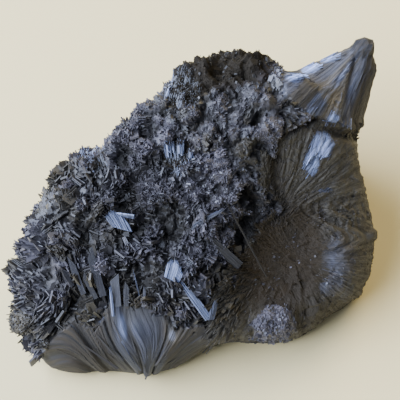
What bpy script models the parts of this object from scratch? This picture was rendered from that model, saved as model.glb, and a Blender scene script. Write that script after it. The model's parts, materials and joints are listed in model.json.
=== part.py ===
"""Goethite specimen: one hand-sized block of fibrous goethite, modelled as one solid.

A sloping front face carries a crust of standing bladed crystals.  The right of the block is
broken open along its radiating fibres, which leaves a shallow hollow, a lower bulge and a
striated horn at the upper right.  The underside is flat where the block rests.

All lengths in the tables are millimetres.  The "face frame" lies in the sloping front face:
across is +X, up runs up the slope, and out points away from the face.
"""
import math

import bmesh
import bpy
import numpy as np
from mathutils import Matrix, Vector, kdtree

MM = 0.001
NAME = "goethite_specimen"
SEED = 29

# ---- driving dimensions -------------------------------------------------------------------
FACE_SLOPE = 55.0            # degrees between the face's outward direction and the level
FACE_CENTRE = (2.0, -1.5, 24.0)
CORE = (0.0, -2.0, -4.0)     # face frame: where the fibres start and the block is measured from
BLOCK_CENTRE = (0.0, 0.0, 22.0)
REST_CUT = 0.8               # the flat underside is cut this far above the lowest point
SHIFT = (-.33, 1.768)       # moves the finished block over its origin
BODY_TRIANGLES = 3750
CRUST_BLADES = 100
CRUST_SPACING = 4.2
CRUST_HEIGHT = -.5           # the middle of the crust's flats, below its blades' ends
CRUST_FACE = 4.0             # size of the crust's single faces
BROKEN_FACE = 8.5            # size of the broken back's faces
BUNDLE_COUNT = 800           # fibre bundles that spread from the hollow's centre, all round
BUNDLE_CENTRE = (19.0, -6.0, 4.0)
CRUST_TRIES = 4000
SURFACE_TOLERANCE = .003
SURFACE_AREA = 21000.0       # square millimetres, roughly

# The flats of the front and sides: (direction in the face frame, distance from FACE_CENTRE)
FRONT_FLATS = [
    ((-.70, .72, .0), 26.2),
    ((.0, .99, .1), 35.2),
    ((.36, .93, -.1), 36.7),
    ((1, .0, .12), 45.0),
    ((.93, .36, -.05), 41.9),
    ((.6, -.8, 0), 43.9),
    ((.25, -.97, .1), 37.4),
    ((0, -1, .15), 39.4),
    ((-.75, -.66, 0), 61.5),
    ((-1, .05, .1), 50.5),
    ((-.93, .36, .0), 37.5),
    ((-.10, .02, .99), 18.6),
    ((-.10, -.50, .86), 30.5),
    ((.50, -.12, .86), 23.4),
    ((-.62, .05, .78), 35.0),
    ((-.1, .6, .8), 29.0),
]
# The flats of the back: (direction, distance from BLOCK_CENTRE)
BACK_FLATS = [
    ((.05, .97, -.25), 37.0),
    ((-.75, .6, -.25), 37.0),
    ((.85, .45, -.25), 48.0),
    ((.7, -.5, -.5), 41.3),
    ((-.85, -.2, -.45), 44.9),
]
# Swellings in the face frame: (centre, radii, turn in the face in degrees)
LOBES = [
    ((-31.3, -28.9, 1), (17.2, 15.4, 12), -25),
    ((-13.8, -29.8, 3), (16.0, 14.8, 13), 8),
    ((-24.5, -4.5, -1), (17.5, 16.6, 17), 30),
    ((9.1, 24.2, -6), (14.7, 13.9, 17), 0),
    ((29.3, -14.7, -8), (16.6, 16.5, 19), -20),
    ((18.5, -26.7, 0), (14.1, 10.3, 11), 0),
]
# The horn: (start, end, radius at start, radius at end)
HORN = [
    ((28.0, 20.0, -3), (42.6, 38.9, 3), 15.6, 2.3),
    ((34.5, 23.5, -4), (43.2, 33.4, 2), 8.9, 2.4),
]
HOLLOW = ((25, -15, 24), (22, 29, 13.5), -14)
HORN_TIP = (42.0, 38.0)
FAN_FOOT = (-18.0, -45.0)
FAN_REACH = 21.0
FAN_TOP = -24.0
CRUST_TURN = -.2             # how far round to the back the crust reaches
CRUST_EDGE = ((-50, -44), (.8, -39), (3.4, -26), (4.4, -13), (21.6, -1.8), (17.4, 5),
              (19, 16), (30, 22), (23, 31), (20, 50))

# Single blades that stand out: (foot, end, width, thickness, rise of the end)
LONG_BLADES = [
    ((-23.5, -9.0), (-19.5, .5), 6.5, 1.2, 2.0),
    ((-4.0, -22.0), (-9.0, -13.0), 4.6, 1.2, 1.6),
    ((16.0, -19.5), (5.2, 2.1), 1.3, 1.0, 1.2),
    ((10.4, -17.7), (1.3, -9.1), 1.8, 1.2, 1.4),
    ((9.0, -8.0), (1.5, -2.2), 3.2, 1.1, 1.6),
    ((-23.9, -24.7), (-28.9, -12.7), 2.8, 1.2, 2.6),
    ((-27.0, -25.0), (-33.5, -14.5), 3.0, 1.2, 2.4),
    ((-30.0, -24.0), (-36.0, -13.0), 2.6, 1.2, 2.0),
    ((.5, -27.5), (-5.0, -20.0), 1.8, 1.0, 1.2),
    ((3.0, -34.0), (-1.0, -24.5), 2.0, 1.1, 1.5),
    ((6.0, -33.0), (2.5, -24.0), 1.8, 1.0, 1.2),
]


# ---- the shape of the block as a distance formula -------------------------------------------
def turn_in_face(degrees):
    """A turn about the face frame's out direction."""
    c, s = math.cos(math.radians(degrees)), math.sin(math.radians(degrees))
    return np.array([[c, -s, 0], [s, c, 0], [0, 0, 1]])


def face_axes():
    """The face frame's across, up and out directions as the columns of a matrix."""
    slope = math.radians(FACE_SLOPE)
    across = (1, 0, 0)
    up = (0, math.sin(slope), math.cos(slope))
    out = (0, -math.cos(slope), math.sin(slope))
    return np.array([across, up, out], float).T


AXES = face_axes()


def unit(vectors):
    return vectors / np.linalg.norm(vectors, axis=-1, keepdims=True)


def to_face(points):
    return (points - np.array(FACE_CENTRE)) @ AXES


def from_face(points):
    return np.asarray(points, float) @ AXES.T + np.array(FACE_CENTRE)


def joined(a, b, blend):
    """The union of two distances, rounded over a width of blend."""
    h = np.clip(.5 + .5 * (b - a) / blend, 0, 1)
    return b * (1 - h) + a * h - blend * h * (1 - h)


def common(a, b, blend):
    """What two distances share, rounded over a width of blend."""
    return -joined(-a, -b, blend)


def flat(points, direction, distance):
    n = np.array(direction, float)
    return points @ (n / np.linalg.norm(n)) - distance


def egg(points, centre, radii, turn):
    """Distance from an ellipsoid, near enough for pushing points onto it."""
    q = (points - np.array(centre, float)) @ turn_in_face(turn)
    r = np.array(radii, float)
    k0 = np.linalg.norm(q / r, axis=-1)
    k1 = np.linalg.norm(q / (r * r), axis=-1)
    return k0 * (k0 - 1) / np.maximum(k1, 1e-9)


def taper(points, start, end, radius_start, radius_end):
    """Distance from a tapering round bar."""
    a = np.array(start, float)
    ab = np.array(end, float) - a
    t = np.clip((points - a) @ ab / (ab @ ab), 0, 1)
    on_axis = a + t[..., None] * ab
    return np.linalg.norm(points - on_axis, axis=-1) - (radius_start + (radius_end - radius_start) * t)


def block_distance(points):
    """Signed distance to the block's surface, negative inside."""
    q = to_face(points)
    d = flat(q, *FRONT_FLATS[0])
    for direction, distance in FRONT_FLATS[1:]:
        d = common(d, flat(q, direction, distance), 4)
    from_centre = points - np.array(BLOCK_CENTRE)
    for direction, distance in BACK_FLATS:
        d = common(d, flat(from_centre, direction, distance), 5)
    for centre, radii, turn in LOBES:
        d = joined(d, egg(q, centre, radii, turn), 5)
    for bar in HORN:
        d = joined(d, taper(q, *bar), 4)
    d = common(d, -egg(q, *HOLLOW), 7)
    return common(d, -points[..., 2], 1.5)


def surface_along(starts, directions, inside):
    """Walks each start along its direction until it meets the block's surface."""
    places = np.array(starts, float)
    step = -.75 if inside else .75
    for _ in range(90):
        distance = block_distance(places)
        places += directions * (step * distance)[:, None]
        if np.abs(distance).max() < SURFACE_TOLERANCE:
            break
    return places


def outward(points):
    """The surface's outward direction at each point."""
    step = .4
    slopes = [block_distance(points + step * e) - block_distance(points - step * e) for e in np.eye(3)]
    return unit(np.stack(slopes, -1))


def on_face(across, up):
    """The point of the surface that lies straight behind (across, up) on the face."""
    start = from_face([(across, up, 45.0)])
    return surface_along(start, -AXES[:, 2][None, :], inside=False)[0]


def in_crust(across, up):
    """Whether a place on the front lies left of the crust's ragged right edge."""
    for (a0, u0), (a1, u1) in zip(CRUST_EDGE, CRUST_EDGE[1:]):
        if u0 <= up < u1:
            return across < a0 + (a1 - a0) * (up - u0) / (u1 - u0)
    return False


def zone(across, up, normal):
    """Which kind of surface a place of the block has."""
    if normal @ AXES[:, 2] < CRUST_TURN:
        return "back"
    if math.dist((across, up), FAN_FOOT) < FAN_REACH and up < FAN_TOP:
        return "fan"
    return "crust" if in_crust(across, up) else "broken"


# ---- solids -------------------------------------------------------------------------------
class BrokenFaces:
    """Splits space into cells, each a flat that is tilted and raised in its own way."""

    def __init__(self, rng, seeds, raised, tilted):
        self.seeds = seeds
        self.raised = rng.uniform(-raised, raised, len(seeds))
        self.tilts = rng.normal(size=seeds.shape) * tilted
        self.tree = kdtree.KDTree(len(seeds))
        for k, seed in enumerate(seeds):
            self.tree.insert(seed, k)
        self.tree.balance()

    def height(self, place):
        k = self.tree.find(place)[1]
        return self.raised[k] + float(np.dot(self.tilts[k], place - self.seeds[k]))


def scattered(rng, places, spacing):
    """Some of the places, about one for each square of the given spacing."""
    count = int(SURFACE_AREA / spacing ** 2)
    return places[rng.choice(len(places), count, replace=False)]


def roughened(places):
    """Raises the crust's flats, the fibre bundles and the broken back off the smooth form."""
    rng = np.random.default_rng(SEED)
    normals = outward(places)
    crust_faces = BrokenFaces(rng, scattered(rng, places, CRUST_FACE), .75, .20)
    back_faces = BrokenFaces(rng, scattered(rng, places, BROKEN_FACE), .8, .10)
    bundles = BrokenFaces(rng, unit(rng.normal(size=(BUNDLE_COUNT, 3))), .45, 1.2)
    bundle_ways = unit(places - from_face([BUNDLE_CENTRE]))
    fan_ways = unit(places - from_face([(*FAN_FOOT, 0)]))
    heights = np.zeros(len(places))
    for k, (across, up, _) in enumerate(to_face(places)):
        kind = zone(across, up, normals[k])
        if kind == "crust":
            heights[k] = CRUST_HEIGHT + crust_faces.height(places[k])
        elif kind == "broken":
            heights[k] = bundles.height(bundle_ways[k])
        elif kind == "fan":
            heights[k] = bundles.height(fan_ways[k])
        else:
            heights[k] = back_faces.height(places[k])
    above_rest = np.clip(places[:, 2] / 3, 0, 1)
    return places + normals * (heights * above_rest)[:, None]


def rock_body():
    """A fine sphere pushed out from the core to the formula's surface, then roughened."""
    bm = bmesh.new()
    bmesh.ops.create_icosphere(bm, subdivisions=7, radius=1.0)
    directions = np.array([v.co.normalized()[:] for v in bm.verts])
    core = np.broadcast_to(from_face([CORE]), directions.shape)
    places = roughened(surface_along(core, directions, inside=True))
    for vert, place in zip(bm.verts, places):
        vert.co = place
    mesh = bpy.data.meshes.new("body")
    bm.to_mesh(mesh)
    bm.free()
    return mesh


def crystal(bm, width, thickness, length, slant):
    """A flat lath with a slanted, narrowed end; its foot is at the origin and it grows along +Z."""
    verts = bmesh.ops.create_cube(bm, size=1.0)["verts"]
    for vert in verts:
        x, y, z = vert.co
        height = z + .5
        narrow = 1.0 - .38 * height
        thin = 1.0 - .30 * height
        vert.co = (x * width * narrow, y * thickness * thin, length * height * (1 + slant * x))
    return verts


def set_blade(bm, foot, growth, flat_side, width, thickness, length, slant):
    """Puts a crystal's foot at a point, growing one way, its flat side turned to another."""
    z = Vector(growth).normalized()
    y = Vector(flat_side)
    y = (y - z * y.dot(z)).normalized()
    x = y.cross(z)
    place = Matrix((x, y, z)).transposed().to_4x4()
    place.translation = Vector(foot)
    bmesh.ops.transform(bm, matrix=place, verts=crystal(bm, width, thickness, length, slant))


def crust_places(rng):
    """Random places of the bladed crust: the front, left and top of the block."""
    directions = unit(rng.normal(size=(CRUST_TRIES, 3)))
    core = np.broadcast_to(from_face([CORE]), directions.shape)
    places = surface_along(core, directions, inside=True)
    normals = outward(places)
    chosen = []
    for place, normal, (across, up, _) in zip(places, normals, to_face(places)):
        crowded = any(math.dist(place, other) < CRUST_SPACING for other, _ in chosen)
        if zone(across, up, normal) == "crust" and not crowded and place[2] > 4:
            chosen.append((place, normal))
    return chosen[:CRUST_BLADES]


def crust(bm, rng):
    """Standing blades over the crust, leaning every way."""
    for place, normal in crust_places(rng):
        lean = unit(normal + rng.normal(size=3) * .42)
        length = rng.uniform(5.0, 8.0)
        width = rng.uniform(3.0, 5.6)
        foot = place - lean * (length - rng.uniform(1.0, 2.3))
        set_blade(bm, foot, lean, rng.normal(size=3), width, rng.uniform(1.1, 1.8), length,
                  rng.uniform(-.3, .3))


def lay_blade(bm, foot, end, width, thickness, rise):
    """A blade that lies along the face from foot to end and rises off it by its end."""
    start, stop = on_face(*foot), on_face(*end)
    middle_out = outward(np.array([(start + stop) / 2]))[0]
    start = start - middle_out * thickness * .6
    stop = stop + middle_out * rise * .5
    growth = stop - start
    set_blade(bm, start, growth, middle_out, width, thickness, np.linalg.norm(growth), .12)


def fan_ridges(bm, rng):
    """Long ridges that spread from the foot of the front like a fan."""
    foot = np.array(FAN_FOOT)
    for k in range(13):
        angle = math.radians(28 + k * 11.5 + rng.uniform(-3, 3))
        way = np.array((math.cos(angle), math.sin(angle)))
        reach = rng.uniform(15, 21)
        lay_blade(bm, foot + way * 4, foot + way * reach, rng.uniform(1.6, 2.4), 1.3, .9)


def horn_ridges(bm):
    """Striations of the horn: long ridges that spread down from near its tip."""
    tip = np.array(HORN_TIP)
    for k in range(5):
        angle = math.radians(205 + k * 11)
        way = np.array((math.cos(angle), math.sin(angle)))
        lay_blade(bm, tip + way * (19 - k), tip + way * 4, 2.6, 1.2, .5)


def hollow_ridges(bm, rng):
    """Fibre bundles that run out over the hollow's rim."""
    centre = np.array((24.0, -10.0))
    for k in range(9):
        angle = math.radians(-50 + k * 19 + rng.uniform(-4, 4))
        way = np.array((math.cos(angle), math.sin(angle)))
        lay_blade(bm, centre + way * 8, centre + way * rng.uniform(15.5, 18), rng.uniform(2, 3), 1.2, .3)


def all_blades():
    rng = np.random.default_rng(SEED)
    bm = bmesh.new()
    crust(bm, rng)
    for blade in LONG_BLADES:
        lay_blade(bm, *blade)
    fan_ridges(bm, rng)
    horn_ridges(bm)
    hollow_ridges(bm, rng)
    mesh = bpy.data.meshes.new("blades")
    bm.to_mesh(mesh)
    bm.free()
    return mesh


# ---- joining ------------------------------------------------------------------------------
def islands(bm):
    """The mesh's separate shells, as lists of faces."""
    left = set(bm.faces)
    shells = []
    while left:
        todo = [left.pop()]
        shell = []
        while todo:
            face = todo.pop()
            shell.append(face)
            for edge in face.edges:
                for other in edge.link_faces:
                    if other in left:
                        left.remove(other)
                        todo.append(other)
        shells.append(shell)
    return shells


def keep_outer_shell(bm):
    """Drops the small sealed voids that crossing blades leave inside the solid."""
    shells = sorted(islands(bm), key=len)
    for shell in shells[:-1]:
        bmesh.ops.delete(bm, geom=shell, context="FACES")


def cut_flat(bm):
    """The flat that the block rests on."""
    geom = bm.verts[:] + bm.edges[:] + bm.faces[:]
    cut = bmesh.ops.bisect_plane(bm, geom=geom, dist=1e-6, plane_co=(0, 0, REST_CUT),
                                 plane_no=(0, 0, 1), clear_inner=True)
    rim = [e for e in cut["geom_cut"] if isinstance(e, bmesh.types.BMEdge)]
    bmesh.ops.triangle_fill(bm, use_beauty=True, use_dissolve=False, edges=rim, normal=(0, 0, -1))


def joined_mesh(body, blades):
    """Body and blades as one closed shell in metres over the origin."""
    evaluated = body.evaluated_get(bpy.context.evaluated_depsgraph_get())
    mesh = bpy.data.meshes.new_from_object(evaluated)
    bm = bmesh.new()
    bm.from_mesh(mesh)
    keep_outer_shell(bm)
    cut_flat(bm)
    bmesh.ops.triangulate(bm, faces=bm.faces[:], ngon_method="EAR_CLIP")
    bmesh.ops.recalc_face_normals(bm, faces=bm.faces[:])
    move = Matrix.Translation((SHIFT[0] * MM, SHIFT[1] * MM, -REST_CUT * MM))
    bmesh.ops.transform(bm, matrix=move @ Matrix.Scale(MM, 4), verts=bm.verts[:])
    bm.to_mesh(mesh)
    bm.free()
    return mesh


# ---- objects ------------------------------------------------------------------------------
def goethite_material():
    material = bpy.data.materials.new("goethite, fibrous and bladed")
    material.use_nodes = True
    shader = material.node_tree.nodes["Principled BSDF"]
    shader.inputs["Base Color"].default_value = (.035, .034, .040, 1)
    shader.inputs["Roughness"].default_value = .38
    shader.inputs["Metallic"].default_value = 0.0
    return material


def collection(name):
    made = bpy.data.collections.new(name)
    bpy.context.scene.collection.children.link(made)
    return made


def guide(name, mesh, home):
    """A shape that is only used to make another, shown as wire and left out."""
    made = bpy.data.objects.new(name, mesh)
    made.hide_render = True
    made.display_type = "WIRE"
    home.objects.link(made)
    return made


def clear_scene():
    for old in list(bpy.data.objects):
        bpy.data.objects.remove(old, do_unlink=True)


def main():
    clear_scene()
    parts = collection(NAME)
    cutters = collection(NAME + "_guides")
    body = guide("body_guide", rock_body(), cutters)
    blades = guide("blades_guide", all_blades(), cutters)
    thin = body.modifiers.new("fewer faces", "DECIMATE")
    thin.ratio = BODY_TRIANGLES / len(body.data.polygons)
    union = body.modifiers.new("crystals", "BOOLEAN")
    union.operation = "UNION"
    union.solver = "EXACT"
    union.use_self = True
    union.object = blades
    specimen = bpy.data.objects.new(NAME, joined_mesh(body, blades))
    specimen.data.materials.clear()
    specimen.data.materials.append(goethite_material())
    parts.objects.link(specimen)


main()
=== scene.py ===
import json
import math

import bmesh
import bpy
import numpy as np
from bpy.props import FloatProperty, FloatVectorProperty, PointerProperty
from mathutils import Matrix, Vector, kdtree

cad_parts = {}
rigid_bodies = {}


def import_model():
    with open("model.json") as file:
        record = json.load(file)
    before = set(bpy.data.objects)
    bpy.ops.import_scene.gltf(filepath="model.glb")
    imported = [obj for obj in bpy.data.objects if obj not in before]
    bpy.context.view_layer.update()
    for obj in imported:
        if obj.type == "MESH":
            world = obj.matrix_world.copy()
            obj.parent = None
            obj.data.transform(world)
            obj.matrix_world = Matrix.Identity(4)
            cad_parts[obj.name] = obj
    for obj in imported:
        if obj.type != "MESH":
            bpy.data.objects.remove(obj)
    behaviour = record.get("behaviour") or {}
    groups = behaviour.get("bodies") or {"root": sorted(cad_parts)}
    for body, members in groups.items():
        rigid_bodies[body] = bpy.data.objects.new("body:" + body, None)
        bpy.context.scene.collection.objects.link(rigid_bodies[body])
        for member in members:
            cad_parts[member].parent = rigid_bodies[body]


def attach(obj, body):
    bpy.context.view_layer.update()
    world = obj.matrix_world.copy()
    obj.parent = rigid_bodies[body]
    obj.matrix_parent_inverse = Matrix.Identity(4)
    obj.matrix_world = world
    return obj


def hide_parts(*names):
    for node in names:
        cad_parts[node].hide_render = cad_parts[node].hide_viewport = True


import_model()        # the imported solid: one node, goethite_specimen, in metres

bl_info = {
    "name": "Goethite Specimen",
    "version": (1, 0, 0),
    "blender": (4, 5, 0),
    "location": "View3D > Sidebar > Goethite",
    "description": "Dresses the goethite block with its bladed crust, fibrous breaks and stage",
    "category": "Object",
}

# Lengths are in millimetres until to_metres() places them in the frame, except those of the lights.
MM = 0.001
NODE = "goethite_specimen"
BODY = "root"
SEED = 29
LUMPS = 420             # the crust's larger lumps
TUFTS = 2400            # its tufts of fine crystals
STONE_AREA = 21000      # of the block, in square millimetres
STRETCH = 400           # how much the streaks of fibres are drawn out

# ---- camera and lights; the lights' places and sizes are in metres -----------------------------
EYE_DISTANCE = 300.0                # from the middle of the face
LENS = 103.8
SENSOR_WIDTH = 36
WINDOW_PLACE, WINDOW_SIZE, WINDOW_COLOUR = (-.78, -.05, .66), (1.5, 1.0), (.84, .91, 1.0)
LAMP_PLACE, LAMP_SIZE, LAMP_COLOUR = (.55, .90, .65), (.7, .4), (1.0, .77, .32)
SKY_COLOUR = (.86, .93, 1.0, 1)

# ---- the block, as its construction has it ---------------------------------------------------
FACE_SLOPE = 55.0
FACE_CENTRE = (2.0, -1.5, 24.0)
CORE = (0.0, -2.0, -4.0)
BLOCK_CENTRE = (0.0, 0.0, 22.0)
REST_CUT = 0.8
SHIFT = (-.33, 1.768, -REST_CUT)
SURFACE_TOLERANCE = .003
FRONT_FLATS = [
    ((-.70, .72, .0), 26.2), ((.0, .99, .1), 35.2), ((.36, .93, -.1), 36.7),
    ((1, .0, .12), 45.0), ((.93, .36, -.05), 41.9), ((.6, -.8, 0), 43.9),
    ((.25, -.97, .1), 37.4), ((0, -1, .15), 39.4), ((-.75, -.66, 0), 61.5),
    ((-1, .05, .1), 50.5), ((-.93, .36, .0), 37.5), ((-.10, .02, .99), 18.6),
    ((-.10, -.50, .86), 30.5), ((.50, -.12, .86), 23.4), ((-.62, .05, .78), 35.0),
    ((-.1, .6, .8), 29.0),
]
BACK_FLATS = [
    ((.05, .97, -.25), 37.0), ((-.75, .6, -.25), 37.0), ((.85, .45, -.25), 48.0),
    ((.7, -.5, -.5), 41.3), ((-.85, -.2, -.45), 44.9),
]
LOBES = [
    ((-31.3, -28.9, 1), (17.2, 15.4, 12), -25), ((-13.8, -29.8, 3), (16.0, 14.8, 13), 8),
    ((-24.5, -4.5, -1), (17.5, 16.6, 17), 30), ((9.1, 24.2, -6), (14.7, 13.9, 17), 0),
    ((29.3, -14.7, -8), (16.6, 16.5, 19), -20), ((18.5, -26.7, 0), (14.1, 10.3, 11), 0),
]
HORN = [
    ((28.0, 20.0, -3), (42.6, 38.9, 3), 15.6, 2.3),
    ((34.5, 23.5, -4), (43.2, 33.4, 2), 8.9, 2.4),
]
HOLLOW = ((25, -15, 24), (22, 29, 13.5), -14)

# ---- places on the face: (across, up) in the face frame ----------------------------------------
CRUST_EDGE = ((-50, -44), (-4, -39), (2.0, -34), (5.5, -26), (9.5, -13), (21.0, -2.5), (17.4, 5),
              (19, 16), (30, 22), (23, 31), (20, 50))       # the crust lies to the left of it
CRUST_TURN = -.2                    # the crust ends where the surface has turned this far, as a cosine
UPPER_CENTRE = (20.0, -4.0)         # the broken side's fibres run out from here in its upper part
LOWER_CENTRE = (26.0, -16.0)        # and from here in its lower part
HORN_TIP = (40.8, 35.6)
HORN_AXIS = ((41.8, 37.5, 1.0), (29.0, 14.0, -8.0))         # from inside its tip to its root
HORN_FOOT = (26.0, 22.0)
HORN_CREST = 39.5                   # it is glossier, with a painted sheen, to the left of this or near the groove
HORN_WAY = (.62, .78)               # from its foot towards its tip
NOTCH = 16.2                        # the notch under it, as along_notch() counts
HORN_VALLEY = ((40.8, 36.5), (37.6, 20.5))                  # the two ends of the groove along it
FAN_FOOT = (-14.2, -46.8)           # the lowest point of the fan
FAN_FOCUS = (-14.2, -51.0)          # its fibres run out from here
FAN_REACH = 31.0                    # how far it goes from its foot
FAN_AXIS = -15.8                    # its middle is less brown than its sides
FAN_EDGE = ((-44, -42), (-42, -40), (-35, -33), (-32.5, -31), (-27.8, -34), (-24.5, -29), (-23, -23.8),
            (-20.5, -26), (-18.2, -27), (-13.3, -27.6), (-10.4, -30.7), (-4.4, -33.5), (1, -33.5), (3, -38),
            (4.5, -50))             # its upper edge
BACK_CENTRE = (-4.0, 24.0, -36.0)   # the back's fibres run out from here
HOLLOW_MIDDLE = (21.0, -15.0)       # where the broken side is calm and rusty
HOLLOW_REACH = (16.0, 20.0)
BULGE = (19.2, -32.6)               # the grey swelling at its foot
BULGE_REACH = 7.0
RIM = (37.6, -18.0)                 # its right rim, where fibres show with a painted sheen
RIM_REACH = (6.0, 13.5)
KNOBBY = ((35.0, -4.5), (10.0, 8.0))
# Where the crust is darker and less glossy at the top, and where it is violet: (centre across and up,
# reach)
DARK_TOP = ((6.0, 37.0), (19.0, 11.0))
VIOLET = (((8.0, 14.0), (18.0, 18.0)), ((-28, -20), (13, 13)))
# Grains that lie loose on the broken side: (centre across and up, reach, share)
LOOSE_GRAINS = (((35.0, -4.5), (8.0, 7.0), .3), ((34.5, -21.0), (4.5, 6.0), .4))
# Painted shade on the broken side, on the flanks of its swellings and along the crust's edge: (centre
# across and up, reach, how dim)
PAINTED_SHADE = (((35.0, -31.0), (12.0, 7.0), .75), ((26.6, -32.0), (3.2, 6.0), .5), ((20.0, 3.0), (6.0, 17.0), .45))
# Where the split fibres are turned to mirror the window and get a painted sheen: (centre across and up,
# reach, strength)
MIRRORED_SHEEN = [
    ((31.9, 14.6), (4.0, 4.4), 1.5), ((29.2, 10.0), (2.6, 5.0), 1.2), ((34.4, 21.0), (2.2, 1.8), .5),
    ((24.3, 31.6), (2.8, 1.6), .9), ((28.4, 34.0), (2.8, 1.6), .9), ((33.0, 36.8), (2.8, 1.5), .8),
    ((36.0, -17.0), (4.0, 9.0), .16), ((33.0, -22.5), (3.0, 4.0), .18), ((-7.2, -35.0), (1.6, 2.6), .3),
    ((33.0, 2.4), (3.6, 1.2), .25), ((-20.0, -33.0), (1.8, 5.0), .25),
]

# Small flats of the surface: (how many, how much they rise or sink, how much they tilt)
RAGGED_FLATS = (1500, 1.6, 0)
CRUST_FLATS = (6000, .2, .25)
BROKEN_FLATS = (5000, .05, .08)
KNOBBY_FLATS = (2500, .3, .2)
BACK_BREAKS = ((500, .4, 2.0), (3000, .15, 3.0))

# Bundles of fibres and the fibres in them: (width in degrees, length)
FAN_BUNDLES, FAN_FIBRES = (13, 30), (2.6, 14)
HORN_BUNDLES, HORN_FIBRES = (11, 15), (4, 10)
SPLIT_BUNDLES, SPLIT_FIBRES = (8, 9), (3, 4)

# The farthest that a crystal's tip may stand from the middle of the foot, each way
REACH_OUT = np.array([49.6, 42.4, 56.8])

# Lobes that stay smooth in the crust: (centre across and up, reach)
SMOOTH_LOBES = [((13.8, 35.2), (4.2, 3.6)), ((-46.5, -31.8), (4.6, 4.0))]

# Small swellings outside the crust: (centre across and up, reach, height)
KNOBS = [
    ((19.0, -32.2), (6.5, 5.0), 1.2), ((16.2, -33.6), (3.0, 2.4), .6), ((21.2, -30.4), (2.6, 3.4), .8),
    ((18.0, -29.8), (2.0, 1.8), .5), ((42.6, 40.0), (3.6, 3.2), 1.2), ((27.0, -31.0), (3.4, 5.0), -1.0),
    ((14.0, 35.6), (4.6, 4.0), 2.2), ((-46.5, -31.8), (5.0, 4.4), 1.6), ((45.4, -9.0), 2.2, 1.3),
    ((43.6, 12.0), 1.6, .9), ((43.2, 15.0), 1.3, .8), ((36.5, 3.6), 3.0, .6),
    ((38.5, -4.0), 2.6, .5), ((42.5, -25.0), 2.4, .8), ((36.0, -31.0), 2.6, .7),
    ((5.5, -21.0), 3.2, .9),
]

# Deep recesses between the crust's rosettes: (centre across and up, reach)
RECESSES = [
    ((-19.0, 0.5), 4.5), ((-29.4, -8.6), 4.5), ((-22.6, -10.9), 4.0), ((-15.6, -17.4), 5.0),
    ((-8.6, -12.0), 5.5), ((-2.6, -6.5), 5.0), ((13.0, 0.0), 5.0), ((0.0, 19.0), 3.5),
    ((8.3, 26.0), 3.5), ((4.6, 34.0), 3.5), ((-13.0, 18.0), 4.0), ((-20.8, 10.4), 3.5),
    ((16.0, 13.0), 4.0), ((-39.5, -15.6), 3.5), ((-33.0, -27.0), 3.5), ((12.5, -6.0), 3.5),
    ((5.0, -25.0), 3.5),
]

# Patches whose crystals stand the same way:
# (centre across and up, radius, way they grow, how far their flats face the window, size, gloss and painted
# sheen)
ALIGNED = [
    ((-31.0, -18.5), 8.5, (-.35, .85, .45), .35, 1.2, .1),
    ((-4.5, 29.0), 5.2, (.25, .9, .2), .95, .7, 1.3),
    ((20.5, 31.0), 3.2, (.1, .9, .3), .8, .7, .6),
    ((-6.0, 12.0), 4.2, (-.2, .9, .3), .95, .75, 1.0),
    ((2.0, 4.0), 5.0, (.0, .3, .9), .3, .5, .8),
    ((-41.0, 0.0), 4.0, (-.6, .8, .2), .8, .8, .5),
    ((-28.0, 12.5), 3.6, (-.4, .9, .2), .9, .8, .9),
    ((-14.0, 5.0), 5.0, (-.6, .4, .5), .1, 1.2, .1),
    ((10.0, 17.0), 5.0, (.2, .6, .7), .2, .7, .2),
]

# Striated plates and needles that stand in the crust, as seen from the front:
# (two foot corners, two end corners, laths, thickness, how far the flat faces the window,
#  how far it stands off the stone, gloss and painted sheen)
PLATES = [
    ((-17.4, -8.3), (-22.9, -6.8), (-21.3, -0.5), (-25.0, -4.2), 21, 0.5, 0.9, 1.7, 0.5),
    ((-19.0, -4.4), (-17.2, -8.6), (-19.5, -3.6), (-17.7, -8.1), 1, 0.5, 0.2, 2.6, 0.7),
    ((-9.4, -19.8), (-5.5, -21.6), (-8.1, -14.0), (-3.6, -17.9), 15, 0.5, 0.8, 1.8, 0.5),
    ((1.3, -31.5), (3.1, -30.2), (-5.7, -21.8), (-3.6, -20.3), 5, 0.5, 0.8, 2.0, 0.5),
    ((1.8, -31.2), (3.8, -31.0), (3.2, -25.2), (5.2, -25.7), 4, 0.5, 0.5, 2.0, 0.2),
    ((17.2, -20.0), (17.4, -19.8), (6.8, -1.0), (7.3, -0.8), 2, 0.3, 0.07, 2.0, 0),
    ((9.4, -18.2), (11.2, -16.0), (0.9, -10.7), (2.6, -8.5), 5, 0.9, 0.25, 1.2, 0.11),
    ((-2.3, -7.8), (-1.3, -6.0), (6.5, -2.9), (7.3, -0.8), 7, 0.6, 0.1, 2.5, 0.11),
    ((-25.2, -25.0), (-22.7, -24.0), (-29.0, -12.6), (-27.4, -12.4), 1, 0.7, 0.05, 1.3, 0.05),
    ((-30.2, -24.4), (-28.3, -24.2), (-34.3, -14.6), (-32.8, -14.0), 1, 0.7, 0.05, 1.4, 0.05),
    ((-33.0, -22.4), (-31.6, -22.9), (-36.2, -17.6), (-35.4, -17.3), 1, 0.7, 0.05, 1.4, 0.05),
    ((-27.0, -25.6), (-25.4, -25.2), (-30.6, -19.0), (-29.6, -19.6), 1, 0.7, 0.05, 1.2, 0.05),
    ((-22.9, -30.2), (-22.1, -30.2), (-23.9, -22.1), (-22.9, -21.8), 2, 0.5, 0.85, 2.0, 0.6),
    ((-21.3, -27.6), (-19.0, -28.1), (-22.4, -18.7), (-19.8, -19.2), 1, 0.8, 0.05, 1.3, 0.05),
    ((-19.2, -27.6), (-17.9, -27.6), (-19.2, -20.8), (-17.4, -21.3), 1, 0.7, 0.05, 1.3, 0.05),
    ((-15.3, -26.8), (-15.1, -26.8), (-17.4, -18.2), (-16.9, -18.2), 1, 0.5, 0.14, 2.3, 0.2),
    ((-14.8, -27.0), (-14.0, -27.3), (-14.8, -21.8), (-14.0, -22.1), 2, 0.5, 0.17, 2.1, 0.1),
]


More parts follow.
